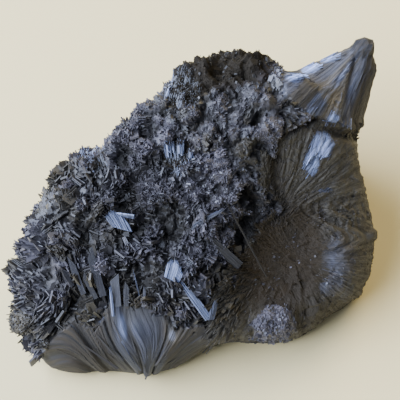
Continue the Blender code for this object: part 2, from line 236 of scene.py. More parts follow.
# ---- the shape of the block as a distance formula -----------------------------------------------
def turn_in_face(degrees):
    """A turn about the face frame's out direction."""
    c, s = math.cos(math.radians(degrees)), math.sin(math.radians(degrees))
    return np.array([[c, -s, 0], [s, c, 0], [0, 0, 1]])


def face_axes():
    """The face frame's across, up and out directions as the columns of a matrix."""
    slope = math.radians(FACE_SLOPE)
    across = (1, 0, 0)
    up = (0, math.sin(slope), math.cos(slope))
    out = (0, -math.cos(slope), math.sin(slope))
    return np.array([across, up, out], float).T


AXES = face_axes()
OUT = AXES[:, 2]


def unit(vectors):
    return vectors / np.maximum(np.linalg.norm(vectors, axis=-1, keepdims=True), 1e-9)


def to_face(points):
    return (points - np.array(FACE_CENTRE)) @ AXES


def from_face(points):
    return np.asarray(points, float) @ AXES.T + np.array(FACE_CENTRE)


def face_way(direction):
    """A direction given in the face frame, in the block's own axes."""
    return unit(np.asarray(direction, float) @ AXES.T)


def window_mirror():
    """The way a flat looks when it mirrors the window towards someone who looks at the face."""
    to_window = unit(np.array(WINDOW_PLACE) - to_metres(FACE_CENTRE))
    return unit(to_window + OUT)


def to_metres(points):
    return (np.asarray(points) + np.array(SHIFT)) * MM


def joined(a, b, blend):
    h = np.clip(.5 + .5 * (b - a) / blend, 0, 1)
    return b * (1 - h) + a * h - blend * h * (1 - h)


def common(a, b, blend):
    return -joined(-a, -b, blend)


def flat(points, direction, distance):
    n = np.array(direction, float)
    return points @ (n / np.linalg.norm(n)) - distance


def egg(points, centre, radii, turn):
    q = (points - np.array(centre, float)) @ turn_in_face(turn)
    r = np.array(radii, float)
    k0 = np.linalg.norm(q / r, axis=-1)
    k1 = np.linalg.norm(q / (r * r), axis=-1)
    return k0 * (k0 - 1) / np.maximum(k1, 1e-9)


def taper(points, start, end, radius_start, radius_end):
    a = np.array(start, float)
    ab = np.array(end, float) - a
    t = np.clip((points - a) @ ab / (ab @ ab), 0, 1)
    on_axis = a + t[..., None] * ab
    return np.linalg.norm(points - on_axis, axis=-1) - (radius_start + (radius_end - radius_start) * t)


def block_distance(points):
    """Signed distance to the block's smooth surface, negative inside."""
    q = to_face(points)
    d = flat(q, *FRONT_FLATS[0])
    for direction, distance in FRONT_FLATS[1:]:
        d = common(d, flat(q, direction, distance), 4)
    from_centre = points - np.array(BLOCK_CENTRE)
    for direction, distance in BACK_FLATS:
        d = common(d, flat(from_centre, direction, distance), 5)
    for centre, radii, turn in LOBES:
        d = joined(d, egg(q, centre, radii, turn), 5)
    for bar in HORN:
        d = joined(d, taper(q, *bar), 4)
    d = common(d, -egg(q, *HOLLOW), 7)
    return common(d, -points[..., 2], 1.5)


def surface_along(starts, directions, inside):
    """Walks each start along its direction until it meets the block's surface."""
    places = np.array(starts, float)
    step = -.75 if inside else .75
    for _ in range(90):
        distance = block_distance(places)
        places += directions * (step * distance)[:, None]
        if np.abs(distance).max() < SURFACE_TOLERANCE:
            break
    return places


def outward(points):
    step = .4
    slopes = [block_distance(points + step * e) - block_distance(points - step * e) for e in np.eye(3)]
    return unit(np.stack(slopes, -1))


def seen(points):
    """Where points show on the face to an eye in front of it: (across, up)."""
    across, up, out = to_face(points).T
    nearer = 1 - out / EYE_DISTANCE
    return across / nearer, up / nearer


def sight(across, up):
    """The place of the eye and the direction in which (across, up) on the face is seen."""
    return from_face((0, 0, EYE_DISTANCE)), face_way((across, up, -EYE_DISTANCE))


def on_face(across, up):
    """The point of the surface that is seen at (across, up) on the face."""
    eye, way = sight(across, up)
    start = eye + way * (EYE_DISTANCE - 50)
    return surface_along(start[None, :], way[None, :], inside=False)[0]


# ---- cells and zones ---------------------------------------------------------------------------
class Cells:
    """Nearest-seed cells: which seed each place belongs to, and how far the next one is."""

    def __init__(self, seeds):
        self.seeds = seeds
        self.tree = kdtree.KDTree(len(seeds))
        for k, seed in enumerate(seeds):
            self.tree.insert(seed, k)
        self.tree.balance()

    def nearest(self, places):
        """(index of the nearest seed, distance to it, how much farther the second is)."""
        found = [self.tree.find_n(p, 2) for p in places]
        index = np.array([f[0][1] for f in found])
        near = np.array([f[0][2] for f in found])
        gap = np.array([f[1][2] - f[0][2] for f in found])
        return index, near, gap


def broken_flats(rng, places, flats, seeds=None):
    """Height of tilted flats round the seeds, or round some of the places if none are given."""
    count, raised, tilted = flats
    if seeds is None:
        seeds = scattered(rng, places, count)
    index, _, _ = Cells(seeds).nearest(places)
    lift = rng.uniform(-raised, raised, len(seeds))
    tilts = rng.normal(size=seeds.shape) * tilted
    return lift[index] + np.einsum("ij,ij->i", tilts[index], places - seeds[index])


def around(across, up, centre, seam):
    """Angle and distance from a centre on the face; the angle's jump lies in the direction seam."""
    x, y = across - centre[0], up - centre[1]
    turn = math.radians(180 - seam)
    c, s = math.cos(turn), math.sin(turn)
    return np.arctan2(x * s + y * c, x * c - y * s), np.hypot(x, y)


def around_horn(places):
    """Angle about the horn's axis and distance from its tip."""
    tip, root = np.array(HORN_AXIS)
    from_tip = to_face(places) - tip
    sideways = unit(np.cross((0, 0, 1), root - tip))
    facing = unit(np.cross(root - tip, sideways))
    return np.arctan2(from_tip @ sideways, from_tip @ facing), np.linalg.norm(from_tip, axis=-1)


def from_line(across, up, ends):
    """Distance on the face from a line between two ends."""
    start, stop = np.array(ends, float)
    run = stop - start
    offset = np.stack([across, up], -1) - start
    past = np.clip((offset @ run) / (run @ run), 0, 1)
    return np.linalg.norm(offset - past[:, None] * run, axis=-1)


def strips(rng, angle, reach, width, length):
    """Long rounded strips that run out from a centre, 0 in the grooves between them and up to 1.

    Their width is in degrees and their length in millimetres.
    """
    places = np.stack([np.degrees(angle) / width, reach / length, np.zeros(len(angle))], -1)
    low, high = places.min(0), places.max(0)
    seeds = rng.uniform(low, high, (int((high - low)[0] * (high - low)[1]) + 1, 3))
    index, _, gap = Cells(seeds).nearest(places)
    return rng.uniform(.3, 1, len(seeds))[index] * soft_step(gap, 0, .5)


def mound(across, up, centre, reach):
    """1 in the middle of a round or oval patch and 0 from its edge on."""
    wide, tall = np.broadcast_to(reach, 2)
    far = np.hypot((across - centre[0]) / wide, (up - centre[1]) / tall)
    return 1 - soft_step(far, .3, 1.0)


def along_notch(across, up):
    """The height of a place, counted square to the lines that run like the horn's notch."""
    return up + .25 * (across - 42)


def scattered(rng, places, count):
    return places[rng.choice(len(places), count, replace=False)]


def crust_side(across, up):
    """How far left of the crust's right edge a place lies, in millimetres."""
    ups = [u for _, u in CRUST_EDGE]
    edge = np.interp(up, ups, [a for a, _ in CRUST_EDGE])
    return edge - across


def soft_step(value, low, high):
    t = np.clip((value - low) / (high - low), 0, 1)
    return t * t * (3 - 2 * t)


def smooth_lobes(across, up, normals):
    """The share of the crust's lobes that stay smooth, which don't reach round the back."""
    lobes = np.max([mound(across, up, middle, reach) for middle, reach in SMOOTH_LOBES], 0)
    return lobes * soft_step(-normals[:, 1], -.3, .0)


def zones(places, normals, rng):
    """The share of each kind of surface at each place, as a dict of arrays."""
    across, up = seen(places)
    ragged = broken_flats(rng, places, RAGGED_FLATS)
    front = soft_step(normals @ OUT + ragged * .05, CRUST_TURN - .12, CRUST_TURN + .12)
    side = soft_step(crust_side(across, up) + ragged * (1.5 + .5 * soft_step(-up, 8, 20)), -.6, .6)
    from_foot = np.hypot(across - FAN_FOOT[0], up - FAN_FOOT[1])
    fan_top = np.interp(across, [a for a, _ in FAN_EDGE], [u for _, u in FAN_EDGE])
    fan = front * soft_step(FAN_REACH - from_foot + ragged, -.6, .6)
    fan = fan * soft_step(fan_top - up + ragged, -.6, .6)
    horn_line = (across - HORN_FOOT[0]) * HORN_WAY[0] + (up - HORN_FOOT[1]) * HORN_WAY[1]
    horn = soft_step(horn_line + ragged * .6, .8, 1.8) * soft_step(across - 20.5, 0, 2)
    horn *= soft_step(along_notch(across, up) + ragged * .4, 17.8, 19.0)
    lobes = smooth_lobes(across, up, normals)
    side = side * (1 - soft_step(lobes + ragged * .1, .2, .5))
    crust = front * side * (1 - fan) * (1 - horn)
    ends = horn * (1 - soft_step(horn_line + ragged, 6.0, 9.0))
    broken = np.clip(front * (1 - side) * (1 - fan), 0, 1) * (1 - horn)
    back = (1 - front) * (1 - horn)
    clear = soft_step(places[:, 2], REST_CUT + .6, REST_CUT + 2.4)
    return {"crust": crust * clear, "fan": fan * clear, "horn": horn * clear, "ends": ends * clear,
            "broken": broken * clear, "back": back * clear}


# ---- meshes and attributes ----------------------------------------------------------------------
def new_object(name, mesh):
    made = bpy.data.objects.new(name, mesh)
    bpy.context.scene.collection.objects.link(made)
    return made


def put_attribute(mesh, name, values):
    """Stores one number or one vector for each vertex."""
    values = np.asarray(values, np.float32)
    kind, key = ("FLOAT", "value") if values.ndim == 1 else ("FLOAT_VECTOR", "vector")
    made = mesh.attributes.new(name, kind, "POINT")
    made.data.foreach_set(key, values.ravel())


def get_points(mesh):
    points = np.empty(len(mesh.vertices) * 3, np.float32)
    mesh.vertices.foreach_get("co", points)
    return points.reshape(-1, 3)


def keep_inside(mesh):
    """Draws tips that reach past the block's bounds, or under the table, back to them."""
    points = get_points(mesh)
    points = np.clip(points, -REACH_OUT * (1, 1, 0) * MM, REACH_OUT * MM)
    mesh.vertices.foreach_set("co", points.ravel())
    mesh.update()


def finish_piece(piece, material=None):
    """Lets a finished piece ride on the block in place of the block's own solid, in its own material or
    this one.
    """
    if material:
        piece.data.materials.append(material)
    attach(piece, BODY)
    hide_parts(NODE)
    return piece


# ---- node trees -----------------------------------------------------------------------------------
def feed(tree, node, feeds):
    """Sets or links inputs; feeds pair an input's name or number with a value or an output."""
    for place, value in feeds:
        if isinstance(value, bpy.types.NodeSocket):
            tree.links.new(value, node.inputs[place])
        else:
            node.inputs[place].default_value = value


def add(tree, kind, feeds=(), output=0, stops=(), **settings):
    """Adds a node with its settings and links, and a ramp's stops, and returns one of its outputs."""
    node = tree.nodes.new(kind)
    for key, value in settings.items():
        setattr(node, key, value)
    for k, (place, colour) in enumerate(stops):
        node.color_ramp.elements[k].position = place
        node.color_ramp.elements[k].color = colour
    feed(tree, node, feeds)
    return node.outputs[output] if node.outputs else None


def linear(hex_colour):
    """An sRGB hex colour as linear light with full alpha."""
    steps = [int(hex_colour[k:k + 2], 16) / 255 for k in (1, 3, 5)]
    return tuple(s / 12.92 if s <= .04045 else ((s + .055) / 1.055) ** 2.4 for s in steps) + (1.0,)


SPRAY_INPUTS = {
    "Geometry": ["Stone"],
    "Collection": ["Shapes"],
    "String": ["Where"],
    "Float": ["Spacing", "Density", "Length Min", "Length Max", "Width Min", "Width Max",
              "Thickness Min", "Thickness Max", "Lift", "Spread", "Roll", "Sunk"],
    "Int": ["Seed"],
    "Material": ["Finish"],
}
MANY = 1000         # any number well above the count of shapes in a collection
# What is added to a spray's seed for each of its draws
SWING, ROLL, SIZE = (11, 12, 13), (21, 22, 23), (31, 32, 33)
SHAPE, TONE = 41, 51


def crystal_spray_tree():
    """Crystals scattered over the stone; each grows along the attribute grain, flat side to side."""
    tree = bpy.data.node_groups.new("crystal_spray", "GeometryNodeTree")
    for kind, names in SPRAY_INPUTS.items():
        for name in names:
            tree.interface.new_socket(name, in_out="INPUT", socket_type="NodeSocket" + kind)
    tree.interface.new_socket("Crystals", in_out="OUTPUT", socket_type="NodeSocketGeometry")
    given = add(tree, "NodeGroupInput").node.outputs
    where, bulk, grain, side = [
        add(tree, "GeometryNodeInputNamedAttribute", [("Name", name)], data_type=kind)
        for name, kind in ((given["Where"], "FLOAT"), ("bulk", "FLOAT"),
                           ("grain", "FLOAT_VECTOR"), ("side", "FLOAT_VECTOR"))]
    points = add(tree, "GeometryNodeDistributePointsOnFaces",
                 [("Mesh", given["Stone"]), ("Distance Min", given["Spacing"]),
                  ("Density Max", given["Density"]), ("Density Factor", where), ("Seed", given["Seed"])],
                 distribute_method="POISSON")
    seeds = {k: add(tree, "ShaderNodeMath", [(0, given["Seed"]), (1, float(k))], operation="ADD")
             for k in (*SWING, *ROLL, *SIZE, SHAPE, TONE)}
    shapes = add(tree, "FunctionNodeRandomValue", [(5, MANY), (8, seeds.pop(SHAPE))], 2, data_type="INT")
    bounds = {k: (given[name + " Min"], given[name + " Max"])
              for k, name in zip(SIZE, ("Length", "Width", "Thickness"))}
    bounds[TONE] = (0.0, 1.0)
    drawn = {}
    for k, seed in seeds.items():
        low, high = bounds.get(k, (-1.0, 1.0))
        drawn[k] = add(tree, "FunctionNodeRandomValue", [(2, low), (3, high), (8, seed)], 1,
                       data_type="FLOAT")
    swing, roll = [add(tree, "ShaderNodeCombineXYZ", enumerate(drawn[k] for k in three))
                   for three in (SWING, ROLL)]
    lifted, swung, rolled = [
        add(tree, "ShaderNodeVectorMath", [(0, way), ("Scale", given[amount])], operation="SCALE")
        for way, amount in ((points.node.outputs["Normal"], "Lift"), (swing, "Spread"), (roll, "Roll"))]
    for extra in (lifted, swung):
        grain = add(tree, "ShaderNodeVectorMath", [(0, grain), (1, extra)], operation="ADD")
    growth = add(tree, "ShaderNodeVectorMath", [(0, grain)], operation="NORMALIZE")
    side = add(tree, "ShaderNodeVectorMath", [(0, side), (1, rolled)], operation="ADD")
    turn = add(tree, "FunctionNodeAxesToRotation", [(0, growth), (1, side)],
               primary_axis="Z", secondary_axis="Y")
    length, width = [add(tree, "ShaderNodeMath", [(0, drawn[k]), (1, bulk)], operation="MULTIPLY")
                     for k in SIZE[:2]]
    size = add(tree, "ShaderNodeCombineXYZ", [(0, width), (1, drawn[SIZE[2]]), (2, length)])
    depth = length
    for share in (given["Sunk"], -1.0):
        depth = add(tree, "ShaderNodeMath", [(0, depth), (1, share)], operation="MULTIPLY")
    offset = add(tree, "ShaderNodeVectorMath", [(0, growth), ("Scale", depth)], operation="SCALE")
    sunk = add(tree, "GeometryNodeSetPosition", [("Geometry", points), ("Offset", offset)])
    home = add(tree, "GeometryNodeCollectionInfo",
               [("Collection", given["Shapes"]), ("Separate Children", True), ("Reset Children", True)])
    crystals = add(tree, "GeometryNodeInstanceOnPoints",
                   [("Points", sunk), ("Instance", home), ("Pick Instance", True),
                    ("Instance Index", shapes), ("Rotation", turn), ("Scale", size)])
    toned = add(tree, "GeometryNodeStoreNamedAttribute",
                [("Geometry", crystals), ("Name", "tone"), ("Value", drawn[TONE])],
                data_type="FLOAT", domain="INSTANCE")
    real = add(tree, "GeometryNodeRealizeInstances", [("Geometry", toned)])
    finished = add(tree, "GeometryNodeSetMaterial", [("Geometry", real), ("Material", given["Finish"])])
    add(tree, "NodeGroupOutput", [(0, finished)])
    return tree


# ---- crystal shapes -------------------------------------------------------------------------------
# Outlines of a blade one unit long and wide, from foot to tip: (across, along)
BLADE_OUTLINES = {
    "slant": ((-.42, 0), (.42, 0), (.5, .78), (-.5, 1.0)),
    "chisel": ((-.38, 0), (.38, 0), (.5, .6), (.16, 1.0), (-.5, .72)),
    "point": ((-.4, 0), (.4, 0), (.5, .62), (0, 1.0), (-.5, .62)),
    "square": ((-.45, 0), (.45, 0), (.5, .96), (-.5, 1.0)),
}
FIBRE_OUTLINES = {
    "lath": ((-.5, 0), (.5, .04), (.42, .93), (-.36, 1.0)),
    "splinter": ((-.5, .03), (.5, 0), (.1, 1.0), (-.2, .95)),
}


# A book is a few leaves side by side: (sideways shift, thickness, length)
SINGLE = ((0, 1.0, 1.0),)
BOOK_OUTLINES = ("slant",)
BOOK = ((-.62, .42, .78), (-.12, .40, 1.0), (.36, .38, .86))
BOOK_LEAN = .10


def blade_shape(name, outline, leaves, home):
    """A flat crystal of unit size, its foot at the origin, growing along Z, flat across Y."""
    bm = bmesh.new()
    for k, (shift, thick, tall) in enumerate(leaves):
        corners = [bm.verts.new((x, -.5, z)) for x, z in outline]
        front = bm.faces.new(corners)
        grown = bmesh.ops.extrude_face_region(bm, geom=[front])["geom"]
        behind = [v for v in grown if isinstance(v, bmesh.types.BMVert)]
        for vert in behind:
            vert.co.y = .5
        for vert in corners + behind:
            vert.co.y *= (1 - .45 * vert.co.z) * thick
            vert.co.z *= tall
            vert.co.x += (k - 1) * BOOK_LEAN * vert.co.z * (len(leaves) > 1)
            vert.co.y += shift * (1 + .35 * vert.co.z)
    bmesh.ops.recalc_face_normals(bm, faces=bm.faces[:])
    mesh = bpy.data.meshes.new(name)
    bm.to_mesh(mesh)
    bm.free()
    home.objects.link(bpy.data.objects.new(name, mesh))


def shape_collection(name, outlines, with_books=False):
    home = bpy.data.collections.new(name)
    bpy.context.scene.collection.children.link(home)
    for key, outline in outlines.items():
        blade_shape(name + "_" + key, outline, SINGLE, home)
        if with_books and key in BOOK_OUTLINES:
            blade_shape(name + "_book_" + key, outline, BOOK, home)
    return home


# A shard is a low pyramid: a foot of four corners and a tip that leans to one side
SHARD_TIPS = {"upright": (0, 0), "left": (-.35, .1), "right": (.3, -.2)}
SHARD_FACES = [(0, 1, 2, 3), (0, 4, 1), (1, 4, 2), (2, 4, 3), (3, 4, 0)]


def shard_collection():
    home = bpy.data.collections.new("shard_shapes")
    bpy.context.scene.collection.children.link(home)
    for name, (x, y) in SHARD_TIPS.items():
        corners = [(-.5, -.5, 0), (-.4, .5, 0), (.5, .4, 0), (.45, -.5, 0), (x, y, 1)]
        mesh = bpy.data.meshes.new("shard_" + name)
        mesh.from_pydata(corners, [], SHARD_FACES)
        home.objects.link(bpy.data.objects.new("shard_" + name, mesh))
    return home


# ---- materials ------------------------------------------------------------------------------------
BLACK = (0, 0, 0, 1)
WHITE = (1, 1, 1, 1)


def per_metre(size_mm):
    """The noise scale that gives features of about this size."""
    return 1.0 / (size_mm * MM)


def goethite(name, index, mirror_tint, reads):
    """Goethite is near black inside; what it shows is mostly what its surface mirrors.

    Returns the material, its tree and shader, and the attributes that it reads, by name.
    """
    material = bpy.data.materials.new(name)
    material.use_nodes = True
    tree = material.node_tree
    shader = tree.nodes["Principled BSDF"]
    feed(tree, shader, [("IOR", index), ("Specular Tint", (*mirror_tint, 1))])
    read = {key: add(tree, "ShaderNodeAttribute", output="Fac", attribute_name=key) for key in reads}
    return material, tree, shader, read


def crystal_colour(tree, read, shaded_pit, dark, light, earthy, turn):
    """Tone and colour of grown crystals: each has its own tone, and painted shade turns them to the colour
    of shaded pits where shade is low.

    The colour goes from light to earthy while the hue goes through the two values of turn.
    """
    single, wide = [add(tree, "ShaderNodeMath", [(0, read[key]), (1, share)], operation="MULTIPLY")
                    for key, share in (("tone", .35), ("patch", .65))]
    tone = add(tree, "ShaderNodeMath", [(0, single), (1, wide)], operation="ADD")
    brownish = add(tree, "ShaderNodeValToRGB", [("Fac", read["hue"])], stops=zip(turn, (BLACK, WHITE)))
    plain, brown = [add(tree, "ShaderNodeMix", [(0, tone), (6, dark), (7, lit)], 2, data_type="RGBA")
                    for lit in (light, earthy)]
    grown = add(tree, "ShaderNodeMix", [(0, brownish), (6, plain), (7, brown)], 2, data_type="RGBA")
    return tone, add(tree, "ShaderNodeMix", [(0, read["shade"]), (6, shaded_pit), (7, grown)], 2, data_type="RGBA")


def bladed_goethite(colours):
    """Goethite, grown faces: flat and lustrous, slate to blue-black, each blade its own gloss."""
    material, tree, shader, read = goethite("goethite, grown blades", 1.75, (.70, .76, .95),
                                            ("tone", "patch", "hue", "shade", "gloss_and_painted_sheen"))
    tone, colour = crystal_colour(tree, read, colours.shaded_pit, colours.blade_dark, colours.blade_light,
                                  colours.earthy, (.52, .66))
    rough, matt = [add(tree, "ShaderNodeMapRange", [("Value", value), ("To Min", low), ("To Max", high)])
                   for value, low, high in ((tone, .44, .68), (read["shade"], .16, .0))]
    polish = add(tree, "ShaderNodeMath", [(0, read["gloss_and_painted_sheen"]), (1, -.30)], operation="MULTIPLY")
    for change in (matt, polish):
        rough = add(tree, "ShaderNodeMath", [(0, rough), (1, change)], operation="ADD")
    places = add(tree, "ShaderNodeTexCoord", output="Object")
    grain = add(tree, "ShaderNodeTexNoise",
                [("Vector", places), ("Scale", per_metre(.6)), ("Detail", 2.0)], "Fac")
    bump = add(tree, "ShaderNodeBump", [("Strength", .5), ("Distance", .12 * MM), ("Height", grain)])
    feed(tree, shader, [("Base Color", colour), ("Roughness", rough), ("Normal", bump)])
    return material


def mossy_goethite(colours, name, index):
    """Goethite, tufts of crystals too fine to tell apart: a dusty violet grey, buff in places."""
    material, tree, shader, read = goethite(name, index, (.72, .80, 1.0), ("tone", "patch", "hue", "shade"))
    _, colour = crystal_colour(tree, read, colours.shaded_pit, colours.moss_dark, colours.moss_light,
                               colours.moss_buff, (.55, .75))
    feed(tree, shader, [("Base Color", colour), ("Roughness", .64)])
    return material


def silky_goethite(colours, name, index):
    """Goethite, split along its fibres: silky blue-grey streaks, as on the fan, horn and rim, with a
    painted sheen where they face the window.
    """
    material, tree, shader, read = goethite(name, index, (.66, .75, 1.0),
                                            ("hue", "shade", "gloss_and_painted_sheen", "thread"))
    along = read["thread"].node.outputs["Vector"]
    wide, middling, fine = [
        add(tree, "ShaderNodeTexNoise",
            [("Vector", along), ("Scale", scale), ("Detail", detail), ("Roughness", .65)], "Fac")
        for scale, detail in ((34.0, 4.0), (60.0, 3.0), (90.0, 3.0))]
    streaks = add(tree, "ShaderNodeValToRGB", [("Fac", wide)], stops=((.32, BLACK), (.68, WHITE)))
    earthy = add(tree, "ShaderNodeValToRGB", [("Fac", read["hue"])], stops=((.35, BLACK), (.75, WHITE)))
    # Painted sheen: where the fibres face the window their colour turns to the sheen colours, which stand
    # in for its reflection
    plain, sheen = [add(tree, "ShaderNodeMix", [(0, earthy), (6, cool), (7, warm)], 2, data_type="RGBA")
                    for cool, warm in ((colours.fibre_light, colours.fibre_earthy),
                                       (colours.fibre_painted_sheen, colours.fibre_painted_warm_sheen))]
    # The painted sheen also lightens the dark streaks
    fuller = add(tree, "ShaderNodeMath", [(0, read["gloss_and_painted_sheen"]), (1, .3), (2, streaks)],
                 operation="MULTIPLY_ADD", use_clamp=True)
    colour = sheen
    for factor, under in ((read["gloss_and_painted_sheen"], plain), (fuller, colours.fibre_dark),
                          (read["shade"], colours.shaded_pit)):
        colour = add(tree, "ShaderNodeMix", [(0, factor), (6, under), (7, colour)], 2, data_type="RGBA")
    rough = add(tree, "ShaderNodeMapRange", [("Value", middling), ("To Min", .34), ("To Max", .76)])
    polish = add(tree, "ShaderNodeMath", [(0, read["gloss_and_painted_sheen"]), (1, -.14)], operation="MULTIPLY")
    gloss = add(tree, "ShaderNodeMath", [(0, rough), (1, polish)], operation="ADD")
    duller = add(tree, "ShaderNodeMath", [(0, earthy), (1, .2), (2, gloss)], operation="MULTIPLY_ADD")
    bump = add(tree, "ShaderNodeBump", [("Strength", .7), ("Distance", .25 * MM), ("Height", fine)])
    feed(tree, shader, [("Base Color", colour), ("Roughness", duller), ("Normal", bump)])
    return material


def dull_goethite(colours):
    """Goethite, broken across its fibres under a rusty film: dull, brown and finely grained."""
    material, tree, shader, read = goethite("goethite, dull rusty break", 1.4, (.9, .9, 1.0),
                                            ("tint", "shade", "thread"))
    along = read["thread"].node.outputs["Vector"]
    places = add(tree, "ShaderNodeTexCoord", output="Object")
    bundles, threads = [
        add(tree, "ShaderNodeTexNoise",
            [("Vector", along), ("Scale", scale), ("Detail", detail), ("Roughness", .65)], "Fac")
        for scale, detail in ((30.0, 5.0), (90.0, 3.0))]
    film, grit = [
        add(tree, "ShaderNodeTexNoise",
            [("Vector", places), ("Scale", per_metre(size)), ("Detail", detail)], "Fac")
        for size, detail in ((5, 5.0), (.5, 3.0))]
    grey = add(tree, "ShaderNodeValToRGB", [("Fac", bundles)],
               stops=((.3, colours.break_dark), (.7, colours.break_light)))
    rust = add(tree, "ShaderNodeMix", [(0, film), (6, colours.break_dark), (7, colours.ochre)], 2,
               data_type="RGBA")
    broken = add(tree, "ShaderNodeMix", [(0, read["tint"]), (6, grey), (7, rust)], 2, data_type="RGBA")
    # Painted shade: where shade is low the colour turns to that of shaded pits
    colour = add(tree, "ShaderNodeMix", [(0, read["shade"]), (6, colours.shaded_pit), (7, broken)], 2,
                 data_type="RGBA")
    both = add(tree, "ShaderNodeMath", [(0, grit), (1, threads)], operation="ADD")
    bump = add(tree, "ShaderNodeBump", [("Strength", .7), ("Distance", .25 * MM), ("Height", both)])
    feed(tree, shader, [("Base Color", colour), ("Roughness", .62), ("Normal", bump)])
    return material


# ---- settings ---------------------------------------------------------------------------------------
def colour_property(name, description, hex_colour):
    return FloatVectorProperty(name=name, description=description, subtype="COLOR", size=4, min=0, max=1,
                               default=linear(hex_colour))


class GoethiteColours(bpy.types.PropertyGroup):
    # Painted shade: the colour that the stone and its crystals turn to where shade is low
    shaded_pit: colour_property("Pit shade", "Painted shade in the deep gaps between the crystals", "#2a2724")
    blade_dark: colour_property("Blade dark", "Darkest blades of the crust", "#18181d")
    blade_light: colour_property("Blade light", "Lightest blades of the crust", "#5a5867")
    earthy: colour_property("Earthy blades", "Brownish blades", "#474030")
    moss_dark: colour_property("Tuft dark", "Shaded fine crystals", "#2b2b33")
    moss_light: colour_property("Tuft light", "Lit fine crystals", "#767486")
    moss_buff: colour_property("Tuft buff", "Dusty buff fine crystals", "#514c40")
    fibre_dark: colour_property("Fibre dark", "Shaded silky fibres", "#141417")
    fibre_light: colour_property("Fibre light", "Lit silky fibres", "#33323c")
    fibre_earthy: colour_property("Fibre earthy", "Brownish silky fibres", "#3b3327")
    # Painted sheen: colours that stand in for the window's reflection on silky fibres
    fibre_painted_sheen: colour_property("Fibre painted sheen", "Painted sheen of silky fibres that face the window", "#aec2ff")
    fibre_painted_warm_sheen: colour_property("Fibre painted warm sheen", "Painted sheen of brownish fibres that face the window", "#97928d")
    break_dark: colour_property("Break dark", "Shaded parts of the dull break", "#1f1d1a")
    break_light: colour_property("Break light", "Lit parts of the dull break", "#514f4c")
    ochre: colour_property("Ochre", "Rusty film in the broken hollow", "#33291b")
    table: colour_property("Table", "Pale floor", "#ebddb0")


def number(name, description, default, low=0, **limits):
    return FloatProperty(name=name, description=description, default=default, min=low, **limits)


class GoethiteStone(bpy.types.PropertyGroup):
    rosette_size: number("Rosette size", "Spacing of the crust's rosettes, in mm", 3.8, low=1)
    rosette_depth: number("Rosette depth", "How far under the crust a rosette starts, in mm", 2.2, low=.2)
    crevice: number("Crevice", "Depth of the gaps between rosettes, in mm", 1.2)
    tufts: number("Tufts", "Share of the crust under tufts of fine crystals", .75, max=1, subtype="FACTOR")
    pit_depth: number("Pit depth", "Depth of the dark hollows in the crust, in mm", 2.1)
    bundle_relief: number("Bundle relief", "Multiplies the height of the fibre bundles", 1, max=3,
                          subtype="FACTOR")


class GoethiteCrystals(bpy.types.PropertyGroup):
    size: number("Crystal size", "Multiplies every crystal's length and width", 1, low=.2, max=3,
                 subtype="FACTOR")
    density: number("Crystal density", "Multiplies how many crystals grow", 1, low=.1, max=1.5,
                    subtype="FACTOR")


class GoethiteStage(bpy.types.PropertyGroup):
    window: number("Window light", "Cool soft light from the left", 60, unit="POWER")
    lamp: number("Warm light", "Warm soft light from behind", 12, unit="POWER")
    sky: number("Room light", "Even light from all round", .24)


# ---- operators ----------------------------------------------------------------------------------------
def pushed_out(directions):
    """Where the block's smooth surface is in each direction from the core."""
    core = np.broadcast_to(from_face([CORE]), directions.shape)
    return surface_along(core, directions, inside=True)


def stone_mesh():
    """A fine sphere, finer still where fibres show, with the direction of each point."""
    bm = bmesh.new()
    bmesh.ops.create_icosphere(bm, subdivisions=7, radius=1.0)
    directions = unit(np.array([v.co[:] for v in bm.verts]))
    places = pushed_out(directions)
    share = zones(places, outward(places), np.random.default_rng(SEED))
    fibrous = share["fan"] + share["horn"] + share["broken"] > .3
    for cuts, chosen in ((3, share["fan"] > .3), (1, fibrous & (share["fan"] <= .3))):
        edges = [e for e in bm.edges if all(v.index < len(chosen) and chosen[v.index] for v in e.verts)]
        bmesh.ops.subdivide_edges(bm, edges=edges, cuts=cuts, use_grid_fill=True)
        bm.verts.index_update()
    bmesh.ops.triangulate(bm, faces=bm.faces[:])
    mesh = bpy.data.meshes.new("goethite_stone")
    bm.to_mesh(mesh)
    bm.free()
    return mesh, unit(get_points(mesh).astype(float))


# Finishes of the stone, in the order of its materials
FINISHES = ["blades", "silk", "dull", "moss", "soot"]


def stone_finishes(colours):
    """The stone's materials in the order of FINISHES."""
    made = {
        "blades": bladed_goethite(colours),
        "silk": silky_goethite(colours, "goethite, silky split fibres", 1.6),
        "dull": dull_goethite(colours),
        "moss": mossy_goethite(colours, "goethite, velvety fine tufts", 1.5),
        "soot": mossy_goethite(colours, "goethite, dimmer tufts", 1.12),
    }
    return [made[kind] for kind in FINISHES]


def choose_finishes(mesh, tests):
    """Gives each face the finish of the first test that it meets, or else the first finish.

    A test is a finish, a value for each point, and what the mean of a face's points has to exceed.
    """
    corners = np.empty(len(mesh.polygons) * 3, np.int32)
    mesh.polygons.foreach_get("vertices", corners)
    corners = corners.reshape(-1, 3)
    met = [values[corners].mean(1) > limit for _, values, limit in tests]
    slots = np.select(met, [FINISHES.index(kind) for kind, _, _ in tests], 0)
    mesh.polygons.foreach_set("material_index", slots.astype(np.int32))


